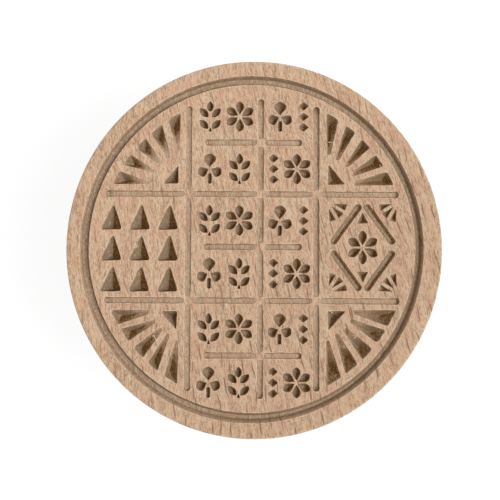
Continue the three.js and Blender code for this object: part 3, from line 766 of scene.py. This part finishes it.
# Painted highlight and wear: lips are pale in patches, by the square of their share of both.
patchy = node(tree, "ShaderNodeTexNoise", i0=spot["Object"], Scale=420.0, Detail=1.0).outputs[0]
lip_highlight = times(tree, remap(tree, fuzz, 0.35, 0.6, 0.3, 1.0), remap(tree, patchy, 0.35, 0.65, 0.1, 0.75))
lip_highlight = times(tree, times(tree, worn, worn), lip_highlight)
color = mix(tree, lip_highlight, color, worn_lip)

relief = math_node(tree, "ADD", grain.outputs["Height"], times(tree, fuzz, times(tree, cut, 1.8)))
bump = node(tree, "ShaderNodeBump", Height=relief, Strength=0.45, Distance=0.0001)
tree.links.new(color, shader.inputs["Base Color"])
tree.links.new(bump.outputs[0], shader.inputs["Normal"])
shader.inputs["Roughness"].default_value = 0.72
shader.inputs["Specular IOR Level"].default_value = 0.3
carved_disc.data.materials.append(disc_wood)

# Handle. A knob turned from a beech blank with its grain running up through it, and sanded on the lathe.
# Its collar seats on the back of the disc and its flat end is what the stamp stands on.
handle_low, handle_high = (np.array(corner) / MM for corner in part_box("handle"))
handle_top = handle_high[2]
collar_radius = (handle_high[0] - handle_low[0]) / 2
collar_foot = handle_top - 3.5
foot_radius, knob_radius, knob_height = 16.5, 22.5, 16.0
neck_radius, neck_height = 12.5, 36.0
rise = neck_height - knob_height
bore_floor = handle_top - 24.5


def bezier(p0, p1, p2, p3, count=24):
    """Cubic Bezier curve through four (radius, height) points, without its last point."""
    t = np.linspace(0, 1, count, endpoint=False)[:, None]
    p0, p1, p2, p3 = (np.array(p, float) for p in (p0, p1, p2, p3))
    return (1 - t) ** 3 * p0 + 3 * (1 - t) ** 2 * t * p1 + 3 * (1 - t) * t**2 * p2 + t**3 * p3


handle_profile = np.concatenate([
    [[0, 0], [foot_radius - 1, 0]],
    bezier((foot_radius, 0), ((foot_radius + knob_radius) / 2, 0), (knob_radius, knob_height * 0.55),
           (knob_radius, knob_height)),
    bezier((knob_radius, knob_height), (knob_radius, knob_height + rise * 0.45),
           (neck_radius, neck_height - rise * 0.45), (neck_radius, neck_height)),
    bezier((neck_radius, neck_height), (neck_radius, neck_height + (collar_foot - neck_height) * 0.7),
           (collar_radius - (collar_radius - neck_radius) * 0.45, collar_foot), (collar_radius, collar_foot)),
    [[collar_radius - 0.25, collar_foot], [collar_radius, collar_foot + 0.3],
     [collar_radius, handle_top - 0.4], [collar_radius - 0.4, handle_top],
     [bore_radius, handle_top], [bore_radius, bore_floor], [0, bore_floor]],
])
places = 160
angle = np.arange(places) / places * 2 * np.pi
compass = np.stack([np.cos(angle), np.sin(angle)], axis=1)
handle_xy = handle_profile[:, 0][:, None, None] * compass
handle_z = np.broadcast_to(handle_profile[:, 1:], handle_xy.shape[:2])
points, heights, wear_and_light, carving, faces = [], [], [], [], []
add_grid(handle_xy, handle_z, 0.0, 0.0, inward=True)
handle_points = np.column_stack([points[0], heights[0]])
turned_handle = skin("turned_handle", handle_points, np.concatenate(faces))
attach(turned_handle, "root")
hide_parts("handle")

grain_up = (math.radians(90), 0, 0)
handle_wood, tree, grain, shader = wood("turned beech", grain_up, Fleck_strength=0.5,
                                        Deep=(0.42, 0.26, 0.15, 1))
bump = node(tree, "ShaderNodeBump", Height=grain.outputs["Height"], Strength=0.25, Distance=0.0001)
tree.links.new(grain.outputs["Color"], shader.inputs["Base Color"])
tree.links.new(bump.outputs[0], shader.inputs["Normal"])
shader.inputs["Roughness"].default_value = 0.55
shader.inputs["Specular IOR Level"].default_value = 0.35
turned_handle.data.materials.append(handle_wood)

# Dowel. A fluted beech pin, glued into the bores of the disc and the handle, which centres and holds them.
# It keeps its CAD mesh, because it shows only when they part.
dowel_wood, tree, grain, shader = wood("dowel beech", grain_up)
tree.links.new(grain.outputs["Color"], shader.inputs["Base Color"])
shader.inputs["Roughness"].default_value = 0.75
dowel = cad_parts["handle_dowel"]
dowel.data.materials.clear()
dowel.data.materials.append(dowel_wood)

# Floor, light and camera. White paper lies under the stamp, one broad soft lamp stands to the right and a
# little towards the foot of the pattern, and the camera looks down on the face from just below its middle.
bpy.context.scene.view_settings.view_transform = "Standard"
WHITE = (1, 1, 1, 1)
floor_half, floor_height = 3.0, -0.0002
lamp_direction, lamp_distance, lamp_size, lamp_power = (0.64, -0.16, 1.0), 3.0, 1.7, 80.5
frame_width, camera_distance = 0.18475, 0.38
lean, roll = math.radians(3.6), math.radians(0.3)


def seen_rays(tree):
    """1 for the rays that show a surface: the camera's, glossy and transmitted ones."""
    path = node(tree, "ShaderNodeLightPath").outputs
    straight = math_node(tree, "ADD", path["Is Camera Ray"], path["Is Glossy Ray"])
    return node(tree, "ShaderNodeMath", {"operation": "ADD", "use_clamp": True}, i0=straight,
                i1=path["Is Transmission Ray"]).outputs[0]


floor_mesh = bpy.data.meshes.new("floor")
square = ((-1, -1), (1, -1), (1, 1), (-1, 1))
floor_corners = [(x * floor_half, y * floor_half, floor_height) for x, y in square]
floor_mesh.from_pydata(floor_corners, [], [(0, 1, 2, 3)])
floor = bpy.data.objects.new("floor", floor_mesh)
bpy.context.collection.objects.link(floor)
paper = bpy.data.materials.new("paper")
paper.use_nodes = True
tree = paper.node_tree
tree.nodes.clear()
matte = node(tree, "ShaderNodeBsdfDiffuse", Color=(0.8, 0.8, 0.8, 1))
dim = node(tree, "ShaderNodeBsdfDiffuse", Color=(0.15, 0.15, 0.15, 1))
glow = node(tree, "ShaderNodeEmission", Color=WHITE, Strength=0.91)
lit = node(tree, "ShaderNodeAddShader", i0=dim.outputs[0], i1=glow.outputs[0])
both = node(tree, "ShaderNodeMixShader", i0=seen_rays(tree), i1=matte.outputs[0], i2=lit.outputs[0])
node(tree, "ShaderNodeOutputMaterial", Surface=both.outputs[0])
floor.data.materials.append(paper)

world = bpy.data.worlds.new("studio")
bpy.context.scene.world = world
world.use_nodes = True
tree = world.node_tree
tree.nodes.clear()
soft = node(tree, "ShaderNodeBackground", Color=WHITE, Strength=0.32)
white = node(tree, "ShaderNodeBackground", Color=WHITE, Strength=1.0)
both = node(tree, "ShaderNodeMixShader", i0=seen_rays(tree), i1=soft.outputs[0], i2=white.outputs[0])
node(tree, "ShaderNodeOutputWorld", Surface=both.outputs[0])

face_middle = Vector((0, 0, face_height * MM))
lamp_data = bpy.data.lights.new("key", "AREA")
lamp_data.size = lamp_size
lamp_data.energy = lamp_power
lamp = bpy.data.objects.new("key", lamp_data)
lamp_place = face_middle + Vector(lamp_direction).normalized() * lamp_distance
lamp_turn = (lamp_place - face_middle).to_track_quat("Z", "Y")
lamp.matrix_world = Matrix.Translation(lamp_place) @ lamp_turn.to_matrix().to_4x4()
bpy.context.collection.objects.link(lamp)

view_middle = face_middle + Vector((-0.00157, -0.00064, 0))
camera_data = bpy.data.cameras.new("camera")
camera_data.sensor_fit = "HORIZONTAL"
camera_data.angle = 2 * math.atan(frame_width / 2 / camera_distance)
camera_data.clip_start = 0.01
camera = bpy.data.objects.new("camera", camera_data)
camera_place = view_middle + Vector((0, -math.sin(lean), math.cos(lean))) * camera_distance
camera_turn = Matrix.Rotation(lean, 4, "X") @ Matrix.Rotation(roll, 4, "Z")
camera.matrix_world = Matrix.Translation(camera_place) @ camera_turn
bpy.context.collection.objects.link(camera)
bpy.context.scene.camera = camera
